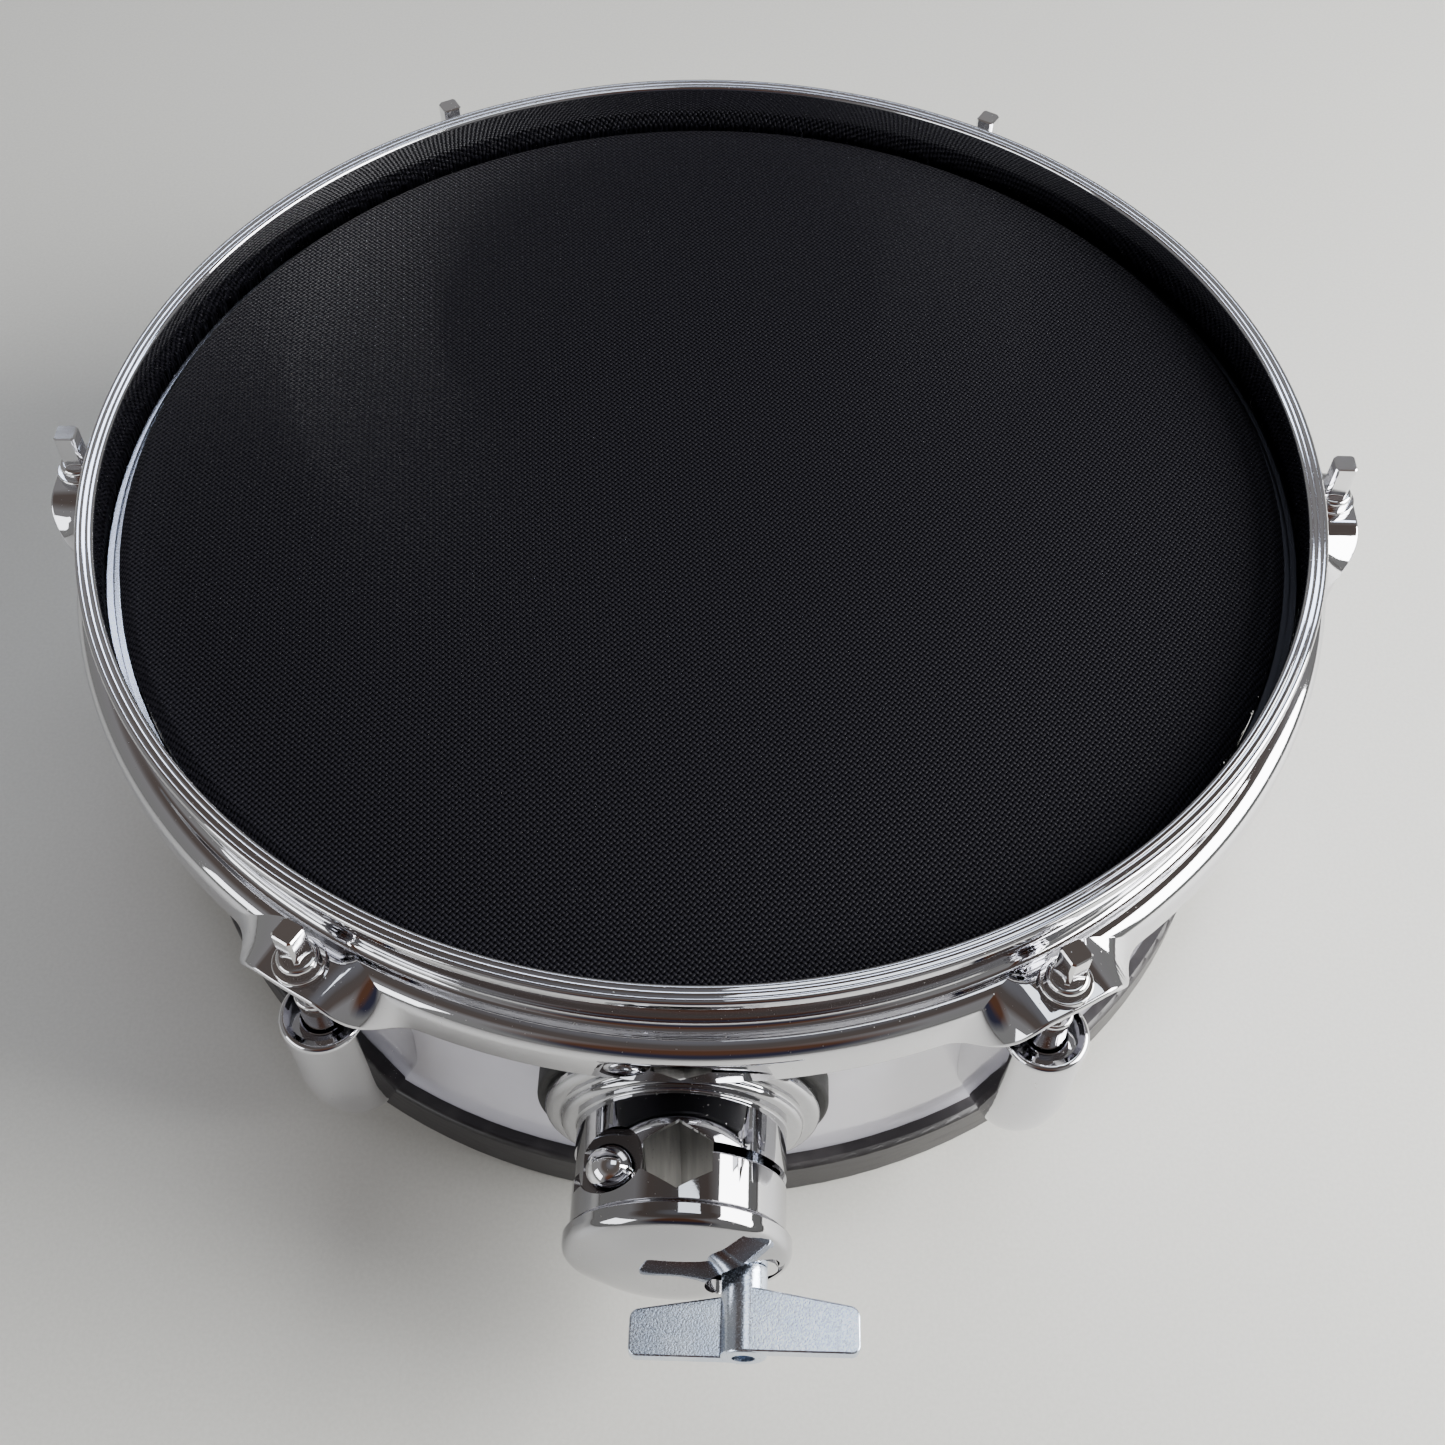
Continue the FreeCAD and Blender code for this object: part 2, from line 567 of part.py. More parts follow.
def make_wing_bolt():
    boss_start = BOLT_SEAT + BOLT_WASHER[1] + 2 * FIT
    shaft = cylinder(BOLT_RADIUS, 162.5, boss_start + 1, OUT, x=BOLT_X, z=CLAMP_HEIGHT)
    boss = turned_outwards([
        (0, boss_start, 0),
        (BOSS_RADIUS, boss_start, 0.4),
        (BOSS_RADIUS, BOSS_END, 0.8),
        (0, BOSS_END, 0),
    ], x=BOLT_X)
    root_start, tip_start = 198.4, 202.6
    reach = WING_SPAN / 2
    wings = []
    for side in (-1, 1):
        corners = [
            (BOLT_X, -root_start, 0),
            (BOLT_X + side * reach, -tip_start, 2.4),
            (BOLT_X + side * reach, -BOSS_END + 0.3, 2.0),
            (BOLT_X, -BOSS_END + 0.3, 0),
        ]
        middle = CLAMP_HEIGHT + side * (BOSS_RADIUS - WING_THICKNESS / 2 - 0.2)
        wing = extruded(corners, middle - WING_THICKNESS / 2, middle + WING_THICKNESS / 2)
        faces_edges = [e for e in wing.Edges if e.BoundBox.ZLength < 0.01 and e.BoundBox.XLength > 0.5]
        wings.append(wing.makeFillet(0.5, faces_edges))
    dimple = cylinder(2.6, BOSS_END - 4, BOSS_END + 1, OUT, x=BOLT_X, z=CLAMP_HEIGHT)
    return boss.fuse([shaft, *wings]).cut(dimple).removeSplitter()


def make_clamp_backing_plate():
    outside = SHELL_INSIDE - FIT
    half_width, thickness, half_height = BACKING_PLATE
    low, high = CLAMP_HEIGHT - half_height, CLAMP_HEIGHT + half_height
    band = tube(outside, outside - thickness, low, high)
    plate = band.common(block(-half_width, half_width, 120, 160, low, high))
    holes = [
        cylinder(CLAMP_SCREW_RADIUS + GAP, 130, 160, OUT, z=height)
        for height in CLAMP_SCREW_HEIGHTS
    ]
    return plate.cut(holes)


def make_clamp_screws():
    face = SHELL_INSIDE - BACKING_PLATE[1] - 3 * FIT - 0.2
    corner_radius, head_height = CLAMP_SCREW_HEAD
    screws = []
    for height in CLAMP_SCREW_HEIGHTS:
        shaft = cylinder(CLAMP_SCREW_RADIUS, face - 1, GASKET_FACE + 10.0, OUT, z=height)
        wire = outline(hexagon(corner_radius, v=height), lambda p: V(p.x, -face, p.y))
        head = Part.Face(wire).extrude(-OUT * head_height)
        screws.append(shaft.fuse(head).removeSplitter())
    return Part.makeCompound(screws)


# Trigger and output jack

def make_sensor_bridge():
    half = BRIDGE_WIDTH / 2
    foot_face = SHELL_INSIDE - 0.6 - FIT
    bar = block(-foot_face, foot_face, -half, half, BRIDGE_TOP - BRIDGE_THICKNESS, BRIDGE_TOP)
    feet = []
    for side in (-1, 1):
        inner = foot_face - BRIDGE_THICKNESS
        low, high = sorted((side * inner, side * foot_face))
        feet.append(block(low, high, -half, half, BRIDGE_FOOT_BOTTOM, BRIDGE_TOP))
    bridge = bar.fuse(feet).removeSplitter()
    upper = [e for e in bridge.Edges if e.BoundBox.ZMin > BRIDGE_TOP - 0.1]
    bridge = bridge.makeFillet(2.0, [e for e in upper if e.BoundBox.YLength > BRIDGE_WIDTH - 1])
    holes = [
        cylinder(LUG_SCREW_RADIUS + GAP, -SHELL_RADIUS, SHELL_RADIUS, RADIAL, z=height)
        for height in LUG_SCREW_HEIGHTS
    ]
    return bridge.cut(holes).common(cylinder(SHELL_INSIDE - FIT, 0, TOTAL_HEIGHT))


def stack_disc(size, bottom):
    radius, thickness = size
    return cylinder(radius, bottom, bottom + thickness)


def make_foam_cone(bottom):
    height = MESH_TOP - MESH_THICKNESS - GAP - bottom
    cone = Part.makeCone(*CONE_RADII, height, V(0, 0, bottom))
    return cone.makeFillet(1.5, [e for e in cone.Edges if e.BoundBox.ZMin > bottom + height - 0.1])


def make_jack_socket():
    bushing = cylinder(JACK_BUSHING, SHELL_INSIDE - 6, JACK_OUTER_END, -OUT, z=JACK_HEIGHT)
    half = JACK_HOUSING / 2
    front = SHELL_INSIDE - 2
    plan = rectangle(JACK_HOUSING, front - JACK_INNER_END, 1, v=(front + JACK_INNER_END) / 2)
    housing = extruded(plan, JACK_HEIGHT - half, JACK_HEIGHT + half)
    bore = cylinder(JACK_BORE, JACK_INNER_END + 3, JACK_OUTER_END + 1, -OUT, z=JACK_HEIGHT)
    return bushing.fuse(housing).cut(bore).removeSplitter()


def make_jack_plate():
    width, height = JACK_PLATE_SIZE
    corners = rectangle(width, height, 3.0, v=JACK_HEIGHT)
    plate = Part.Face(outline(corners, lambda p: V(p.x, JACK_PLATE_FACE, p.y))).extrude(OUT * 8)
    hole = cylinder(JACK_BUSHING + GAP, 130, 170, -OUT, z=JACK_HEIGHT)
    return plate.cut([cylinder(SHELL_RADIUS + FIT, 0, TOTAL_HEIGHT), hole])


def make_jack_nut():
    face = JACK_PLATE_FACE + FIT
    corner_radius, thickness = JACK_NUT
    flats = hexagon(corner_radius, v=JACK_HEIGHT)
    nut = Part.Face(outline(flats, lambda p: V(p.x, face, p.y))).extrude(-OUT * thickness)
    return nut.cut(cylinder(JACK_BUSHING + FIT, 130, 170, -OUT, z=JACK_HEIGHT))


def build():
    """Every sub-part by node name."""
    cushion_bottom = BRIDGE_TOP + FIT
    plate_bottom = cushion_bottom + CUSHION[1]
    piezo_bottom = plate_bottom + SENSOR_PLATE[1]
    cone_bottom = piezo_bottom + HEAD_PIEZO[1]
    rim_piezo_bottom = BRIDGE_TOP - BRIDGE_THICKNESS - RIM_PIEZO[1]
    parts = {
        "shell": make_shell(),
        "bottom_trim_ring": make_bottom_trim_ring(),
        "mesh_head": make_mesh_head(),
        "flesh_hoop": make_flesh_hoop(),
        "hoop": make_hoop(),
        "rod_washers": around(make_rod_washer()),
        "lug_screws": make_lug_screws(),
        "lug_screw_washers": make_lug_screw_washers(),
        "clamp_gasket": make_clamp_gasket(),
        "clamp_base": make_clamp_base(),
        "clamp_jaw": make_clamp_jaw(),
        "hinge_pin": make_hinge_pin(),
        "wing_bolt": make_wing_bolt(),
        "wing_bolt_washer": make_wing_bolt_washer(),
        "clamp_backing_plate": make_clamp_backing_plate(),
        "clamp_screws": make_clamp_screws(),
        "sensor_bridge": make_sensor_bridge(),
        "sensor_cushion": stack_disc(CUSHION, cushion_bottom),
        "sensor_plate": stack_disc(SENSOR_PLATE, plate_bottom),
        "head_piezo": stack_disc(HEAD_PIEZO, piezo_bottom),
        "foam_cone": make_foam_cone(cone_bottom),
        "rim_piezo": stack_disc(RIM_PIEZO, rim_piezo_bottom),
        "jack_socket": make_jack_socket(),
        "jack_plate": make_jack_plate(),
        "jack_nut": make_jack_nut(),
    }
    rod, lug, nut = make_tension_rod(), make_lug(), make_swivel_nut()
    for i in range(LUG_COUNT):
        parts[f"tension_rod_{i + 1}"] = at_lug(rod, i)
        parts[f"lug_{i + 1}"] = at_lug(lug, i)
        parts[f"swivel_nut_{i + 1}"] = at_lug(nut, i)
    return parts


os.makedirs("parts", exist_ok=True)
for name, shape in build().items():
    shape.exportStep(f"parts/{name}.step")
    print(name, len(shape.Solids), round(shape.Volume), shape.isValid())
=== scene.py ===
import json
import math
import bmesh
import bpy
from mathutils import Matrix, Vector, noise


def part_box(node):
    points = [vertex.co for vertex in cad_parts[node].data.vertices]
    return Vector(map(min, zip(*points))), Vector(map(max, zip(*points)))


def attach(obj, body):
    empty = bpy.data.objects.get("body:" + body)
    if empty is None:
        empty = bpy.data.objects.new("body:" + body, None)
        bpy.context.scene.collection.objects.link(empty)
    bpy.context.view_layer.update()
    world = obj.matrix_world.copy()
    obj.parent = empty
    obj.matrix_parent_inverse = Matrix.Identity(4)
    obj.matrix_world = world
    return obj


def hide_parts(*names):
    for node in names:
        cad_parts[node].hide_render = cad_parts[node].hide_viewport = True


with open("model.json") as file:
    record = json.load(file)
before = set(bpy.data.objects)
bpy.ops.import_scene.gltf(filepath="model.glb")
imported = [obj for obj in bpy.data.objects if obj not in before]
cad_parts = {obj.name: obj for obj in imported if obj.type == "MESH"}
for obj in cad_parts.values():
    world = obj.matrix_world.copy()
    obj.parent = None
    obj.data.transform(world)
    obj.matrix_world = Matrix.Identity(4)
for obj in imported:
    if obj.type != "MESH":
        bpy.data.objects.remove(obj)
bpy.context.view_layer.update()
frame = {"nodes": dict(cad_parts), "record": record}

# Lengths are in metres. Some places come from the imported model's boxes, the rest are named below.
MM = 0.001
LUG_COUNT = 6
RIM_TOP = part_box("hoop")[1].z

# The box around the clamp's hexagonal socket, where its walls are painted dark: duller unpolished metal,
# deepened with painted shade
SOCKET_HALF_WIDTH = 7.8 * MM
SOCKET_FRONT, SOCKET_BACK = -186.0 * MM, -168.2 * MM
SOCKET_LOW, SOCKET_HIGH = 33.9 * MM, 80.1 * MM

CONE_LOW, CONE_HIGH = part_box("foam_cone")
CUSHION_LOW, CUSHION_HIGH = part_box("sensor_cushion")
MESH_LOW, MESH_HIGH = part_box("mesh_head")


def lug_angle(index):
    return math.radians(-120 + 360 / LUG_COUNT * index)


# Materials

def new_material(name, **sockets):
    """A node material whose Principled sockets are set by name, with spaces as underscores."""
    material = bpy.data.materials.new(name)
    material.use_nodes = True
    shader = material.node_tree.nodes["Principled BSDF"]
    for socket, value in sockets.items():
        shader.inputs[socket.replace("_", " ")].default_value = value
    return material, material.node_tree, shader


def add(tree, kind, inputs=None, **properties):
    """A node with its properties set and its inputs given as numbers or as sockets to link."""
    made = tree.nodes.new(kind)
    for key, value in properties.items():
        setattr(made, key, value)
    for key, value in (inputs or {}).items():
        if isinstance(value, bpy.types.NodeSocket):
            tree.links.new(value, made.inputs[key])
        else:
            made.inputs[key].default_value = value
    return made


def calc(tree, operation, *values):
    return add(tree, "ShaderNodeMath", dict(enumerate(values)), operation=operation).outputs[0]


def place(tree, scale=(1, 1, 1), turn=0.0):
    """Object coordinates in metres, scaled and turned about Z."""
    coords = add(tree, "ShaderNodeTexCoord").outputs["Object"]
    mapping = {"Vector": coords, "Scale": scale, "Rotation": (0, 0, turn)}
    return add(tree, "ShaderNodeMapping", mapping).outputs[0]


def noise_of(tree, scale, detail=3.0, vector=None):
    inputs = {"Vector": vector or place(tree), "Scale": scale, "Detail": detail}
    return add(tree, "ShaderNodeTexNoise", inputs).outputs["Fac"]


def ramp(tree, value, low, high, start=0.0, end=1.0):
    """Values from low to high become start to end, and are held beyond."""
    inputs = {"Value": value, "From Min": low, "From Max": high, "To Min": start, "To Max": end}
    return add(tree, "ShaderNodeMapRange", inputs).outputs[0]


def blend_colour(tree, factor, first, second):
    mix = add(tree, "ShaderNodeMix", {"Factor": factor}, data_type="RGBA")
    mix.inputs[6].default_value = (*first, 1)
    mix.inputs[7].default_value = (*second, 1)
    return mix.outputs[2]


def paint(tree, shader, factor, first, second):
    """Base colour from first to second as factor goes from 0 to 1."""
    tree.links.new(blend_colour(tree, factor, first, second), shader.inputs["Base Color"])


def roughen(tree, shader, value, low, high, start, end):
    """Roughness from start to end as a value goes from low to high."""
    tree.links.new(ramp(tree, value, low, high, start, end), shader.inputs["Roughness"])


def bump(tree, shader, height, distance, strength=1.0, normal=None):
    inputs = {"Height": height, "Distance": distance, "Strength": strength}
    if normal is not None:
        inputs["Normal"] = normal
    made = add(tree, "ShaderNodeBump", inputs).outputs[0]
    tree.links.new(made, shader.inputs["Normal"])
    return made


def chrome(name, colour, roughness, wave=0.02 * MM, dull=(0.62, 0.6, 0.58)):
    """Polished plate: slightly wavy, with faint wiping marks and dull specks of dust."""
    material, tree, shader = new_material(name, Metallic=1.0)
    haze = noise_of(tree, 45, 4)
    wipes = noise_of(tree, 90, 2, place(tree, (1, 14, 1), 0.6))
    specks = ramp(tree, noise_of(tree, 1400, 1), 0.74, 0.78)
    worn = calc(tree, "MULTIPLY", ramp(tree, haze, 0.42, 0.72), ramp(tree, wipes, 0.45, 0.7))
    base = ramp(tree, worn, 0, 1, roughness, roughness + 0.05)
    rough = calc(tree, "ADD", base, calc(tree, "MULTIPLY", specks, 0.3))
    tree.links.new(rough, shader.inputs["Roughness"])
    paint(tree, shader, calc(tree, "MULTIPLY", specks, 0.6), colour, dull)
    coarse = bump(tree, shader, noise_of(tree, 55, 1), wave)
    bump(tree, shader, noise_of(tree, 900, 2), 0.0015 * MM, 1.0, coarse)
    return material


def within(tree, value, low, high):
    """1 where a value lies between two limits, else 0."""
    above = calc(tree, "GREATER_THAN", value, low)
    return calc(tree, "MULTIPLY", above, calc(tree, "LESS_THAN", value, high))


def clamp_metal(name, colour):
    """Polished plate, with the walls of the hexagonal socket painted dark as rougher unpolished metal
    deepened with painted shade.
    """
    material = chrome(name, colour, 0.03)
    tree = material.node_tree
    shader = tree.nodes["Principled BSDF"]
    at = add(tree, "ShaderNodeSeparateXYZ", {0: place(tree)})
    inside = within(tree, at.outputs[0], -SOCKET_HALF_WIDTH, SOCKET_HALF_WIDTH)
    inside = calc(tree, "MULTIPLY", inside, within(tree, at.outputs[1], SOCKET_FRONT, SOCKET_BACK))
    inside = calc(tree, "MULTIPLY", inside, within(tree, at.outputs[2], SOCKET_LOW, SOCKET_HIGH))
    streaks = noise_of(tree, 500, 3, place(tree, (1, 1, 0.04)))
    # Painted shade: the socket's walls get a dark grey colour, partly their duller unpolished metal and
    # partly the shade inside the socket
    dull_metal_and_shade = blend_colour(tree, ramp(tree, streaks, 0.35, 0.65), (0.045, 0.042, 0.04), (0.13, 0.125, 0.12))
    polished = shader.inputs["Base Color"].links[0].from_socket
    mix = add(tree, "ShaderNodeMix", {"Factor": inside}, data_type="RGBA")
    tree.links.new(polished, mix.inputs[6])
    tree.links.new(dull_metal_and_shade, mix.inputs[7])
    tree.links.new(mix.outputs[2], shader.inputs["Base Color"])
    smooth = shader.inputs["Roughness"].links[0].from_socket
    rough = calc(tree, "ADD", smooth, calc(tree, "MULTIPLY", inside, 0.3))
    tree.links.new(rough, shader.inputs["Roughness"])
    return material


def flesh_metal(name):
    """Bright rolled channel that stays bright only at the left; elsewhere it is painted dark as painted
    shade.
    """
    material, tree, shader = new_material(name, Metallic=1.0)
    side = add(tree, "ShaderNodeSeparateXYZ", {0: place(tree)}).outputs[0]
    streaks = calc(tree, "ADD", side, calc(tree, "MULTIPLY", noise_of(tree, 60, 3), 0.04))
    # Painted shade: the channel is painted dark except on its far left, with a wavy edge between
    painted_shade = ramp(tree, streaks, -0.115, -0.075)
    paint(tree, shader, painted_shade, (0.78, 0.80, 0.86), (0.045, 0.045, 0.05))
    roughen(tree, shader, painted_shade, 0, 1, 0.22, 0.5)
    bump(tree, shader, noise_of(tree, 700, 3), 0.01 * MM)
    return material


def satin_chrome(name):
    """Plate over a bead-blasted casting: fine sparkling grain."""
    material, tree, shader = new_material(name, Metallic=1.0)
    grain = noise_of(tree, 2300, 2)
    roughen(tree, shader, grain, 0.3, 0.7, 0.14, 0.3)
    cloud = ramp(tree, noise_of(tree, 120, 3), 0.35, 0.65)
    paint(tree, shader, cloud, (0.64, 0.72, 0.86), (0.76, 0.82, 0.92))
    bump(tree, shader, grain, 0.03 * MM)
    return material


def zinc(name):
    """Zinc-plated steel: brushed, with a faint yellow and blue cloud."""
    material, tree, shader = new_material(name, Metallic=1.0)
    brushed = noise_of(tree, 300, 3, place(tree, (1, 20, 1)))
    roughen(tree, shader, brushed, 0.3, 0.7, 0.28, 0.42)
    cloud = ramp(tree, noise_of(tree, 70, 2), 0.35, 0.65)
    paint(tree, shader, cloud, (0.56, 0.57, 0.62), (0.64, 0.62, 0.56))
    bump(tree, shader, brushed, 0.01 * MM)
    return material


def gloss_wrap(name):
    """White gloss wrap with a lilac cast: nearly flat, with a slight orange peel under the gloss."""
    material, tree, shader = new_material(name, Coat_Weight=1.0, Coat_Roughness=0.02, Roughness=0.2)
    cloud = ramp(tree, noise_of(tree, 40, 3), 0.3, 0.7)
    paint(tree, shader, cloud, (0.80, 0.79, 0.90), (0.87, 0.86, 0.96))
    bump(tree, shader, noise_of(tree, 220, 2), 0.012 * MM)
    return material


def moulding(name, dark, light, roughness=0.36, grain=1500, depth=0.03 * MM):
    """Black moulded plastic or rubber with a fine grain and slight scuffs."""
    material, tree, shader = new_material(name, Specular_IOR_Level=0.45)
    fine = noise_of(tree, grain, 3)
    scuffs = ramp(tree, noise_of(tree, 110, 5, place(tree, (1, 1, 5))), 0.5, 0.75)
    paint(tree, shader, scuffs, dark, light)
    roughen(tree, shader, scuffs, 0, 1, roughness, roughness + 0.14)
    bump(tree, shader, fine, depth)
    return material


def foam(name):
    """Open-cell foam: small cells darkened with painted shade between lighter raised walls."""
    material, tree, shader = new_material(name, Roughness=0.95, Specular_IOR_Level=0.2)
    inputs = {"Vector": place(tree), "Scale": 900.0}
    cells = add(tree, "ShaderNodeTexVoronoi", inputs, feature="DISTANCE_TO_EDGE").outputs["Distance"]
    # Painted shade: the recessed cells are painted darker than the raised walls between them
    walls = ramp(tree, cells, 0.0, 0.22, 1.0, 0.0)
    paint(tree, shader, walls, (0.008, 0.008, 0.009), (0.055, 0.055, 0.06))
    bump(tree, shader, walls, 0.25 * MM)
    return material


def brass(name):
    material, tree, shader = new_material(name, Metallic=1.0)
    tarnish = ramp(tree, noise_of(tree, 160, 4), 0.35, 0.7)
    paint(tree, shader, tarnish, (0.75, 0.58, 0.28), (0.52, 0.38, 0.18))
    roughen(tree, shader, tarnish, 0, 1, 0.22, 0.42)
    bump(tree, shader, noise_of(tree, 800, 2, place(tree, (1, 12, 1))), 0.01 * MM)
    return material


def woven(name, turn, pitch, width):
    """A plain weave of round black threads, open between them."""
    material, tree, shader = new_material(name)
    drift = noise_of(tree, 18, 2)
    flat = add(tree, "ShaderNodeSeparateXYZ", {0: place(tree, (1 / pitch,) * 3, turn)})
    across = []
    cells = []
    for axis in (0, 1):
        along = calc(tree, "ADD", flat.outputs[axis], calc(tree, "MULTIPLY", drift, 1.6))
        cells.append(calc(tree, "FLOOR", along))
        across.append(calc(tree, "SUBTRACT", calc(tree, "FRACT", along), 0.5))
    parity = calc(tree, "MODULO", calc(tree, "ADD", calc(tree, "ADD", cells[0], cells[1]), 4000), 2)
    over = calc(tree, "SUBTRACT", calc(tree, "MULTIPLY", parity, 2), 1)
    heights = []
    covers = []
    for axis, sign in ((0, 1), (1, -1)):
        side = calc(tree, "DIVIDE", across[axis], width)
        round_top = calc(tree, "SUBTRACT", 1, calc(tree, "MULTIPLY", side, side))
        cover = calc(tree, "GREATER_THAN", round_top, 0)
        crown = calc(tree, "SQRT", calc(tree, "MAXIMUM", round_top, 0))
        crimp = calc(tree, "COSINE", calc(tree, "MULTIPLY", across[1 - axis], math.pi))
        lifted = calc(tree, "MULTIPLY", calc(tree, "MULTIPLY", crimp, over), 0.55 * sign)
        height = calc(tree, "ADD", calc(tree, "ADD", crown, lifted), 1)
        heights.append(calc(tree, "MULTIPLY", height, cover))
        covers.append(cover)
    height = calc(tree, "MAXIMUM", *heights)
    tree.links.new(calc(tree, "MAXIMUM", *covers), shader.inputs["Alpha"])
    # Painted shade: each thread is painted darker where it dips low under its neighbours and lighter
    # towards its raised crown
    shade = ramp(tree, height, 0.8, 2.3)
    paint(tree, shader, shade, (0.0006, 0.0006, 0.0009), (0.0110, 0.0106, 0.0145))
    tree.links.new(ramp(tree, height, 1.6, 2.4, 0.0, 0.12), shader.inputs["Specular IOR Level"])
    fuzz = noise_of(tree, 2600, 2)
    roughen(tree, shader, fuzz, 0.3, 0.7, 0.36, 0.55)
    bump(tree, shader, height, 0.30 * pitch)
    return material


def floor_material(name):
    material, tree, shader = new_material(name, Roughness=0.42, Specular_IOR_Level=0.35)
    grain = ramp(tree, noise_of(tree, 900, 4), 0.35, 0.65)
    paint(tree, shader, grain, (0.685, 0.68, 0.64), (0.725, 0.72, 0.68))
    bump(tree, shader, noise_of(tree, 350, 4), 0.02 * MM)
    return material


CHROME = (0.67, 0.67, 0.70)
# Painted shade: the clamp's plate is given a darker colour than the hoop's chrome, standing in for the
# shaded floor it reflects
SHADED_CLAMP_CHROME = (0.47, 0.47, 0.49)
MATERIALS = {
    "shell_wrap": gloss_wrap("gloss_white_wrap"),
    "black_trim": moulding("satin_black_moulding", (0.022, 0.020, 0.022), (0.050, 0.046, 0.048)),
    "flesh_hoop_metal": flesh_metal("bright_channel"),
    "hoop_chrome": chrome("hoop_plate", CHROME, 0.035, 0.05 * MM),
    "lug_chrome": chrome("lug_plate", CHROME, 0.04),
    "clamp_chrome": clamp_metal("clamp_plate", SHADED_CLAMP_CHROME),
    "wing_chrome": satin_chrome("satin_plate"),
    "hardware_steel": chrome("hardware_plate", (0.78, 0.78, 0.80), 0.06),
    "zinc_steel": zinc("zinc_plate"),
    "black_rubber": moulding("matt_rubber", (0.012, 0.012, 0.012), (0.03, 0.03, 0.03), 0.6),
    "black_foam": foam("open_cell_foam"),
    "piezo_brass": brass("brass_disc"),
    "black_plastic": moulding("grained_plastic", (0.015, 0.015, 0.015), (0.035, 0.035, 0.035), 0.4, 900),
}


def finish_cad_nodes():
    """Gives each carried-over CAD node the material of its slot."""
    for row in frame["record"]["subparts"]:
        material = MATERIALS.get(row["material_slot"])
        if material:
            for slot in frame["nodes"][row["node"]].material_slots:
                slot.material = material


# Meshes

def to_object(name, mesh_builder, material, sharp_degrees=30):
    data = bpy.data.meshes.new(name)
    mesh_builder.to_mesh(data)
    mesh_builder.free()
    piece = bpy.data.objects.new(name, data)
    bpy.context.scene.collection.objects.link(piece)
    data.materials.append(material)
    data.polygons.foreach_set("use_smooth", [True] * len(data.polygons))
    data.set_sharp_from_angle(angle=math.radians(sharp_degrees))
    return piece


def rounded(corners, steps=6, closed=True):
    """Points along an outline whose corners are (u, v, radius); each rounded corner gets an arc."""
    count = len(corners)
    points = []
    for i, (u, v, radius) in enumerate(corners):
        corner = Vector((u, v))
        if radius == 0 or (not closed and i in (0, count - 1)):
            points.append(corner)
            continue
        back = (Vector(corners[i - 1][:2]) - corner).normalized()
        ahead = (Vector(corners[(i + 1) % count][:2]) - corner).normalized()
        half = back.angle(ahead) / 2
        middle = corner + (back + ahead).normalized() * (radius / math.sin(half))
        start = corner + back * (radius / math.tan(half)) - middle
        end = corner + ahead * (radius / math.tan(half)) - middle
        turn = start.angle_signed(end)
        for k in range(steps + 1):
            points.append(middle + Matrix.Rotation(-turn * k / steps, 2) @ start)
    return points


def skin(rings, closed_section=True):
    """A mesh through rings of points, joined round to the first; all have the same number of points."""
    made = bmesh.new()
    rows = [[made.verts.new(p) for p in ring] for ring in rings]
    width = len(rows[0])
    for i, first in enumerate(rows):
        second = rows[(i + 1) % len(rows)]
        for j in range(width if closed_section else width - 1):
            k = (j + 1) % width
            made.faces.new((first[j], first[k], second[k], second[j]))
    bmesh.ops.recalc_face_normals(made, faces=made.faces)
    return made


def turned(section_at, segments, closed=True):
    """A body about Z through the sections (radius, height) that section_at(angle) gives."""
    rings = []
    for i in range(segments):
        angle = 2 * math.pi * i / segments
        rings.append([(p.x * math.cos(angle), p.x * math.sin(angle), p.y) for p in section_at(angle)])
    return skin(rings, closed)


# Hoop: a rolled lip, a wall and a flange whose skirt folds flat into a tab at each rod

HOOP_INSIDE = 155.1 * MM
HOOP_WALL = 2.2 * MM
LIP_RADIUS = 160.0 * MM
LIP_DEPTH = 3.4 * MM
LIP_GROOVES = (156.9 * MM, 158.5 * MM)
GROOVE_HALF_WIDTH = 0.12 * MM
GROOVE_DEPTH = 0.06 * MM
FLANGE_TOP = 106.2 * MM
SHEET = 2.0 * MM
SKIRT_RADIUS = 164.9 * MM
FOLD_RADIUS = 5.0 * MM
FOLD_START = 159.9 * MM
SKIRT_LENGTH = 8.2 * MM
TAB_EXTRA = 5.7 * MM
TAB_FLAT = 5.5 * MM
TAB_FOOT = 28.0 * MM
TAB_EDGE_ABOVE, TAB_EDGE_BELOW = 0.8 * MM, 0.6 * MM
LIP_CORNER = 1.0 * MM
LIP_UNDERSIDE_CORNER = 1.2 * MM
LIP_CREASE = 0.5 * MM
FLANGE_FILLET = 2.2 * MM
FLANGE_INNER_CORNER = 0.3 * MM
BEND_STEPS_ABOVE, BEND_STEPS_BELOW = 12, 8
HOOP_SEGMENTS = 1080


def fold_angle(offset):
    """How far the skirt is folded down, from 0 in the tab's middle to a right angle beside it."""
    part = min(max((abs(offset) - TAB_FLAT) / (TAB_FOOT - TAB_FLAT), 0), 1)
    return math.pi / 2 * part ** 3 * (part * (6 * part - 15) + 10)


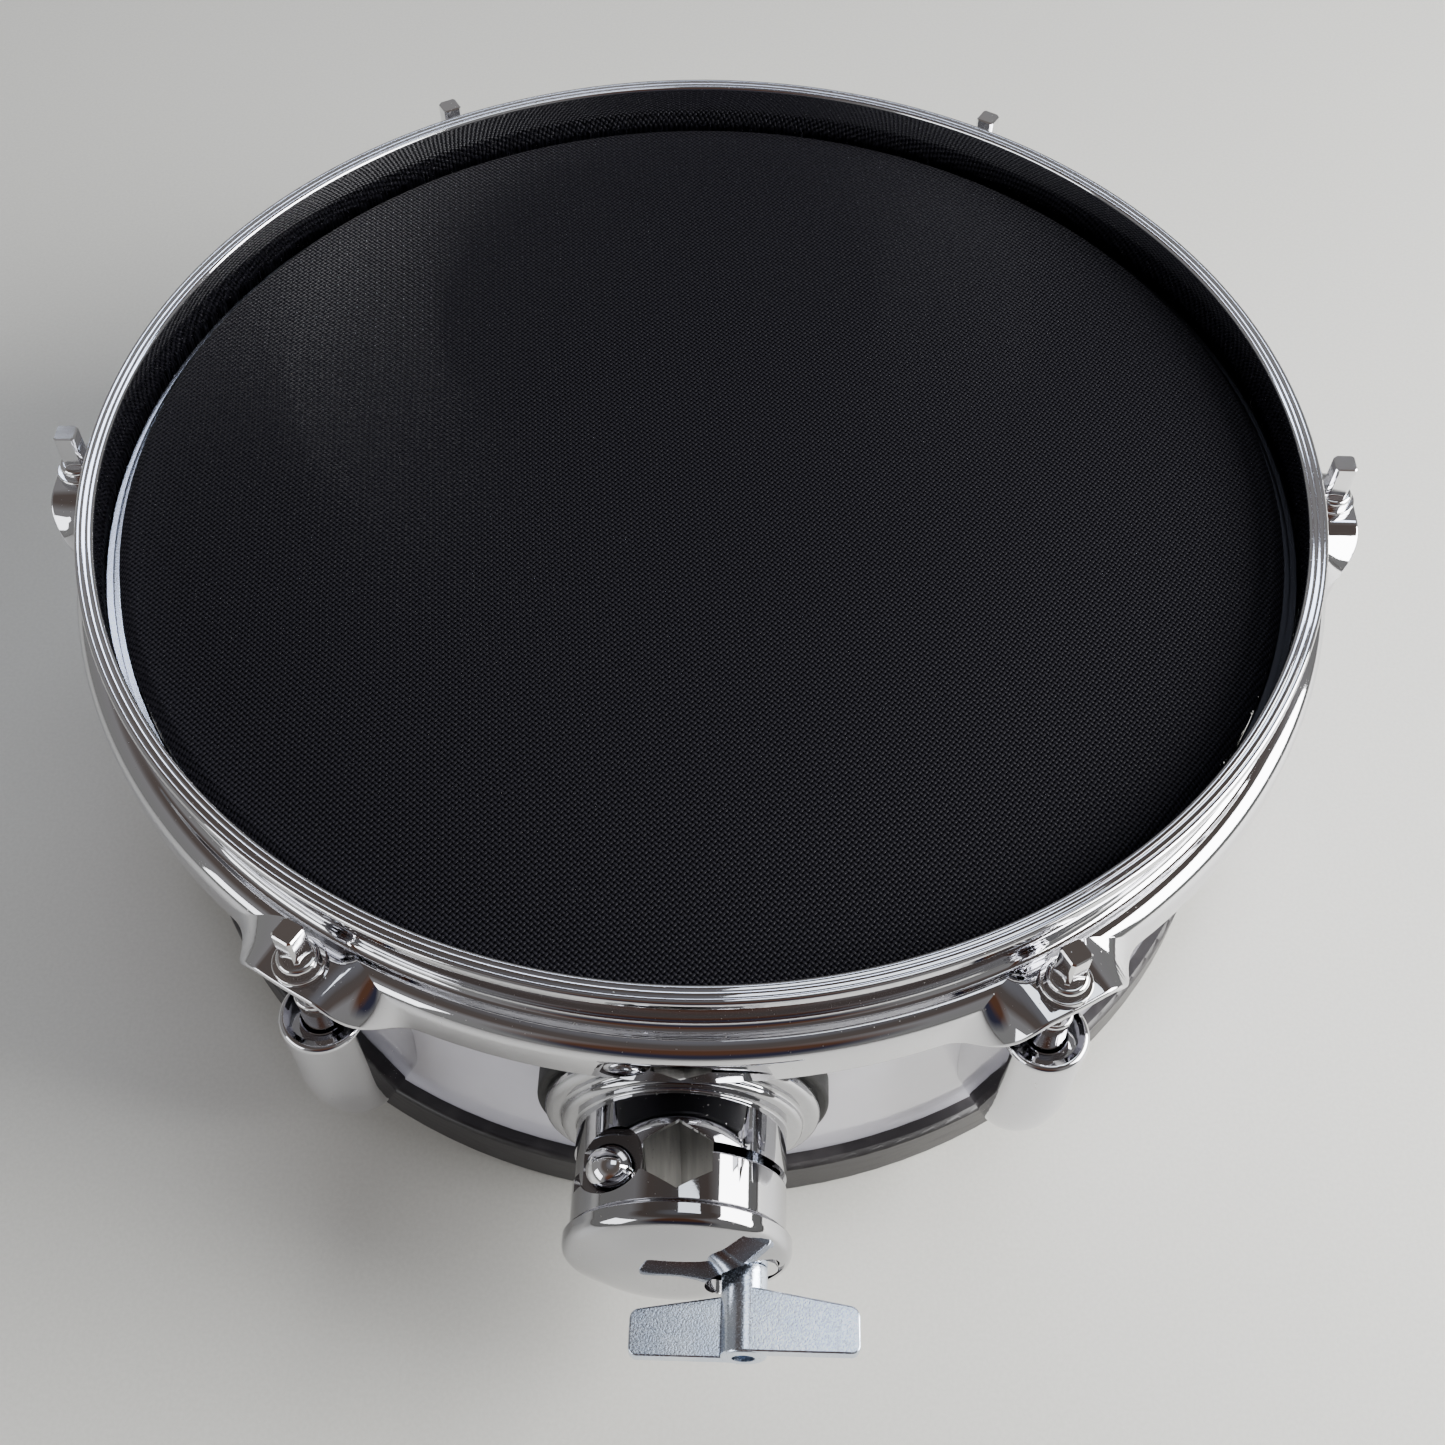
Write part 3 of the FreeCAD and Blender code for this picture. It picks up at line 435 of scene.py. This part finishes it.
def folded_skirt(offset):
    """The flange's bend and skirt, out along the top and back along the underside."""
    fold = fold_angle(offset)
    length = SKIRT_LENGTH + TAB_EXTRA * (1 - fold / (math.pi / 2))
    centre = Vector((FOLD_START, FLANGE_TOP - FOLD_RADIUS))

    def arc(radius, steps):
        angles = [fold * k / steps for k in range(steps + 1)]
        return [centre + radius * Vector((math.sin(a), math.cos(a))) for a in angles]

    top = arc(FOLD_RADIUS, BEND_STEPS_ABOVE)
    under = arc(FOLD_RADIUS - SHEET, BEND_STEPS_BELOW)
    along = Vector((math.cos(fold), -math.sin(fold)))
    ends = [
        (*top[-1], 0),
        (*(top[-1] + along * length), TAB_EDGE_ABOVE),
        (*(under[-1] + along * length), TAB_EDGE_BELOW),
        (*under[-1], 0),
    ]
    return top[:-1] + rounded(ends, 4, closed=False) + under[-2::-1]


def hoop_section(offset):
    """The hoop's cross-section at a distance along the rim from the nearest rod."""
    lip_bottom = RIM_TOP - LIP_DEPTH
    outside = HOOP_INSIDE + HOOP_WALL
    lip = [(HOOP_INSIDE, FLANGE_TOP - SHEET, FLANGE_INNER_CORNER), (HOOP_INSIDE, RIM_TOP, LIP_CORNER)]
    for groove in LIP_GROOVES:
        lip += [
            (groove - GROOVE_HALF_WIDTH, RIM_TOP, 0),
            (groove, RIM_TOP - GROOVE_DEPTH, 0),
            (groove + GROOVE_HALF_WIDTH, RIM_TOP, 0),
        ]
    lip += [
        (LIP_RADIUS, RIM_TOP, LIP_CORNER),
        (LIP_RADIUS, lip_bottom, LIP_UNDERSIDE_CORNER),
        (outside, lip_bottom, LIP_CREASE),
        (outside, FLANGE_TOP, FLANGE_FILLET),
        (FOLD_START, FLANGE_TOP, 0),
    ]
    start = [(FOLD_START, FLANGE_TOP - SHEET, 0)]
    return rounded(start + lip, 8, closed=False)[1:-1] + folded_skirt(offset)


def hoop_section_at(angle):
    spacing = 2 * math.pi / LUG_COUNT
    from_first = angle - lug_angle(0)
    return hoop_section(math.sin(from_first - round(from_first / spacing) * spacing) * SKIRT_RADIUS)


def make_hoop():
    made = turned(hoop_section_at, HOOP_SEGMENTS)
    hoop = to_object("chrome_hoop", made, MATERIALS["hoop_chrome"], 40)
    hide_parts("hoop")
    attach(hoop, "hoop")


# Mesh head: two plies of woven cloth stretched over the shell's edge

WEAVE_PITCH = 1.12 * MM
THREAD_SHARE = 0.37
PLY_CLEARANCE = 0.1 * MM
PLY_EDGE = 149.9 * MM
PLY_CENTRE = 0.5 * MM
SHOULDER_DROP = 3.4 * MM
SHOULDER_RADIUS, COLLAR_RADIUS = 2.4 * MM, 2.6 * MM
PLY_RINGS = 40
PLY_SEGMENTS = 360
PLIES = (("mesh_upper_ply", 0.0, 38), ("mesh_lower_ply", 0.3 * MM, 83))


def make_ply(name, drop, turn):
    """One ply, let in by drop from the upper one and its weave turned by an angle in degrees."""
    top = MESH_HIGH.z - PLY_CLEARANCE - drop
    edge = PLY_EDGE - drop
    collar = MESH_HIGH.x - PLY_CLEARANCE - drop
    corners = [
        (PLY_CENTRE, top, 0),
        (edge, top, SHOULDER_RADIUS),
        (collar, top - SHOULDER_DROP, COLLAR_RADIUS),
        (collar, MESH_LOW.z, 0),
    ]
    bend = rounded(corners, 6, closed=False)
    flat = [Vector((edge * k / PLY_RINGS, top)) for k in range(1, PLY_RINGS)]
    profile = [bend[0], *flat, *bend[1:]]
    cloth = turned(lambda angle: profile, PLY_SEGMENTS, closed=False)
    middle = [e for e in cloth.edges if e.is_boundary and e.verts[0].co.xy.length < 2 * PLY_CENTRE]
    bmesh.ops.contextual_create(cloth, geom=middle)
    material = woven(f"{name}_weave", math.radians(turn), WEAVE_PITCH, THREAD_SHARE)
    piece = to_object(name, cloth, material, 60)
    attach(piece, "drum")
    return piece


def make_mesh_head():
    upper, _ = [make_ply(*ply) for ply in PLIES]
    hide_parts("mesh_head")


# Foam pieces of the trigger

FOAM_SEGMENTS = 96
FOAM_INSET = 0.4 * MM
FOAM_AXIS = 0.05 * MM
SWELL_SCALE, SWELL_DEPTH = 220, 0.35 * MM
CONE_WAIST, CONE_TIP = 0.66, 0.42


def make_foam(name, corners, node):
    profile = rounded(corners, 8)
    made = turned(lambda angle: profile, FOAM_SEGMENTS)
    for vert in made.verts:
        swell = noise.noise(vert.co * SWELL_SCALE) * SWELL_DEPTH
        vert.co += Vector((vert.co.x, vert.co.y, 0)).normalized() * swell
    bmesh.ops.remove_doubles(made, verts=made.verts, dist=0.001 * MM)
    piece = to_object(name, made, MATERIALS["black_foam"], 60)
    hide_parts(node)
    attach(piece, "drum")


def make_trigger_foam():
    base = CONE_HIGH.x - FOAM_INSET
    make_foam("foam_cone_cells", [
        (FOAM_AXIS, CONE_LOW.z, 0),
        (base, CONE_LOW.z, 1.2 * MM),
        (base * CONE_WAIST, (CONE_LOW.z + CONE_HIGH.z) / 2, 40 * MM),
        (base * CONE_TIP, CONE_HIGH.z, 2.2 * MM),
        (FOAM_AXIS, CONE_HIGH.z, 0),
    ], "foam_cone")
    side = CUSHION_HIGH.x - FOAM_INSET
    make_foam("cushion_cells", [
        (FOAM_AXIS, CUSHION_LOW.z, 0),
        (side, CUSHION_LOW.z, 1.8 * MM),
        (side, CUSHION_HIGH.z, 1.8 * MM),
        (FOAM_AXIS, CUSHION_HIGH.z, 0),
    ], "sensor_cushion")


# Studio

FLOOR_SIZE = 6.0
PAD_MIDDLE = (0, 0, 0.05)
PANEL_PLACE = (0.47, 0.28)

# Name, place, point aimed at, width and height, watts, colour
LIGHTS = (
    ("right_window", (0.95, -0.1, 0.6), PAD_MIDDLE, (0.8, 0.7), 33, (1.0, 0.995, 0.98)),
    ("back_tube", (0.1, 1.6, 2.02), PAD_MIDDLE, (3.0, 0.16), 12, (0.70, 0.80, 1.0)),
    ("left_front_window", (-1.9, -1.3, 0.9), PAD_MIDDLE, (1.6, 0.9), 20, (0.96, 0.98, 1.0)),
    ("ceiling_panel", (*PANEL_PLACE, 2.2), (*PANEL_PLACE, 0), (0.84, 0.7), 5.5, (0.86, 0.93, 1.0)),
)


def make_floor():
    made = bmesh.new()
    bmesh.ops.create_grid(made, x_segments=2, y_segments=2, size=FLOOR_SIZE)
    floor = to_object("studio_floor", made, floor_material("pale_floor"))


def area_light(name, place_at, aim, size, watts, colour):
    data = bpy.data.lights.new(name, "AREA")
    data.shape = "RECTANGLE"
    data.size, data.size_y = size
    data.energy = watts
    data.color = colour
    lamp = bpy.data.objects.new(name, data)
    bpy.context.scene.collection.objects.link(lamp)
    lamp.location = place_at
    lamp.rotation_mode = "QUATERNION"
    lamp.rotation_quaternion = (Vector(aim) - Vector(place_at)).to_track_quat("-Z", "Y")


def make_lights():
    for light in LIGHTS:
        area_light(*light)


# Height of the direction looked in, and the room's colour there
ROOM_STOPS = [
    (0.0, (0.36, 0.36, 0.345)),
    (0.3, (0.36, 0.355, 0.345)),
    (0.66, (0.38, 0.37, 0.37)),
    (0.8, (0.16, 0.13, 0.115)),
    (0.93, (0.15, 0.13, 0.12)),
    (1.0, (0.24, 0.24, 0.26)),
]
FIGURE_TOWARDS = (0.03, -0.9, 0.43)
FIGURE_EDGE = (0.86, 0.95)
FIGURE_WAIST = (0.3, 0.5)
FIGURE_BELOW, FIGURE_ABOVE = (0.05, 0.05, 0.085), (0.16, 0.075, 0.045)
ROOM_STRENGTH = 0.72


def make_world():
    """A plain room: pale walls, a brown-grey band above them, and a dark figure at the front."""
    world = bpy.data.worlds.new("studio_room")
    bpy.context.scene.world = world
    world.use_nodes = True
    tree = world.node_tree
    direction = add(tree, "ShaderNodeTexCoord").outputs["Generated"]
    height = add(tree, "ShaderNodeSeparateXYZ", {0: direction}).outputs[2]
    bands = add(tree, "ShaderNodeValToRGB", {0: height})
    room = bands.color_ramp.elements
    for position, _ in ROOM_STOPS[1:-1]:
        room.new(position)
    for element, (position, colour) in zip(room, ROOM_STOPS):
        element.position = position
        element.color = (*colour, 1)
    sides = {0: direction, 1: FIGURE_TOWARDS}
    towards = add(tree, "ShaderNodeVectorMath", sides, operation="DOT_PRODUCT")
    near = ramp(tree, towards.outputs["Value"], *FIGURE_EDGE)
    figure = blend_colour(tree, ramp(tree, height, *FIGURE_WAIST), FIGURE_BELOW, FIGURE_ABOVE)
    mix = add(tree, "ShaderNodeMix", {"Factor": near}, data_type="RGBA")
    tree.links.new(bands.outputs[0], mix.inputs[6])
    tree.links.new(figure, mix.inputs[7])
    background = tree.nodes["Background"]
    tree.links.new(mix.outputs[2], background.inputs["Color"])
    background.inputs["Strength"].default_value = ROOM_STRENGTH


# Camera: looks down at the front of the pad from 55 degrees above the floor

CAMERA_PLACE = (10.9 * MM, -314.2 * MM, 440.1 * MM)
CAMERA_YAW, CAMERA_PITCH, CAMERA_ROLL = (math.radians(d) for d in (0.92, 54.65, 0.70))
CAMERA_LENS = 42.23
CAMERA_SENSOR = 36.0


def make_camera():
    data = bpy.data.cameras.new("camera")
    data.sensor_width = CAMERA_SENSOR
    data.lens = CAMERA_LENS
    data.clip_start = 0.01
    camera = bpy.data.objects.new("camera", data)
    bpy.context.scene.collection.objects.link(camera)
    forward = Vector((
        -math.sin(CAMERA_YAW) * math.cos(CAMERA_PITCH),
        math.cos(CAMERA_YAW) * math.cos(CAMERA_PITCH),
        -math.sin(CAMERA_PITCH),
    ))
    level = Vector((math.cos(CAMERA_YAW), math.sin(CAMERA_YAW), 0))
    upright = level.cross(forward)
    right = level * math.cos(CAMERA_ROLL) + upright * math.sin(CAMERA_ROLL)
    above = upright * math.cos(CAMERA_ROLL) - level * math.sin(CAMERA_ROLL)
    turn = Matrix((right, above, -forward)).transposed().to_4x4()
    camera.matrix_world = Matrix.Translation(CAMERA_PLACE) @ turn
    bpy.context.scene.camera = camera


finish_cad_nodes()
make_hoop()
make_mesh_head()
make_trigger_foam()
make_floor()
make_lights()
make_world()
make_camera()
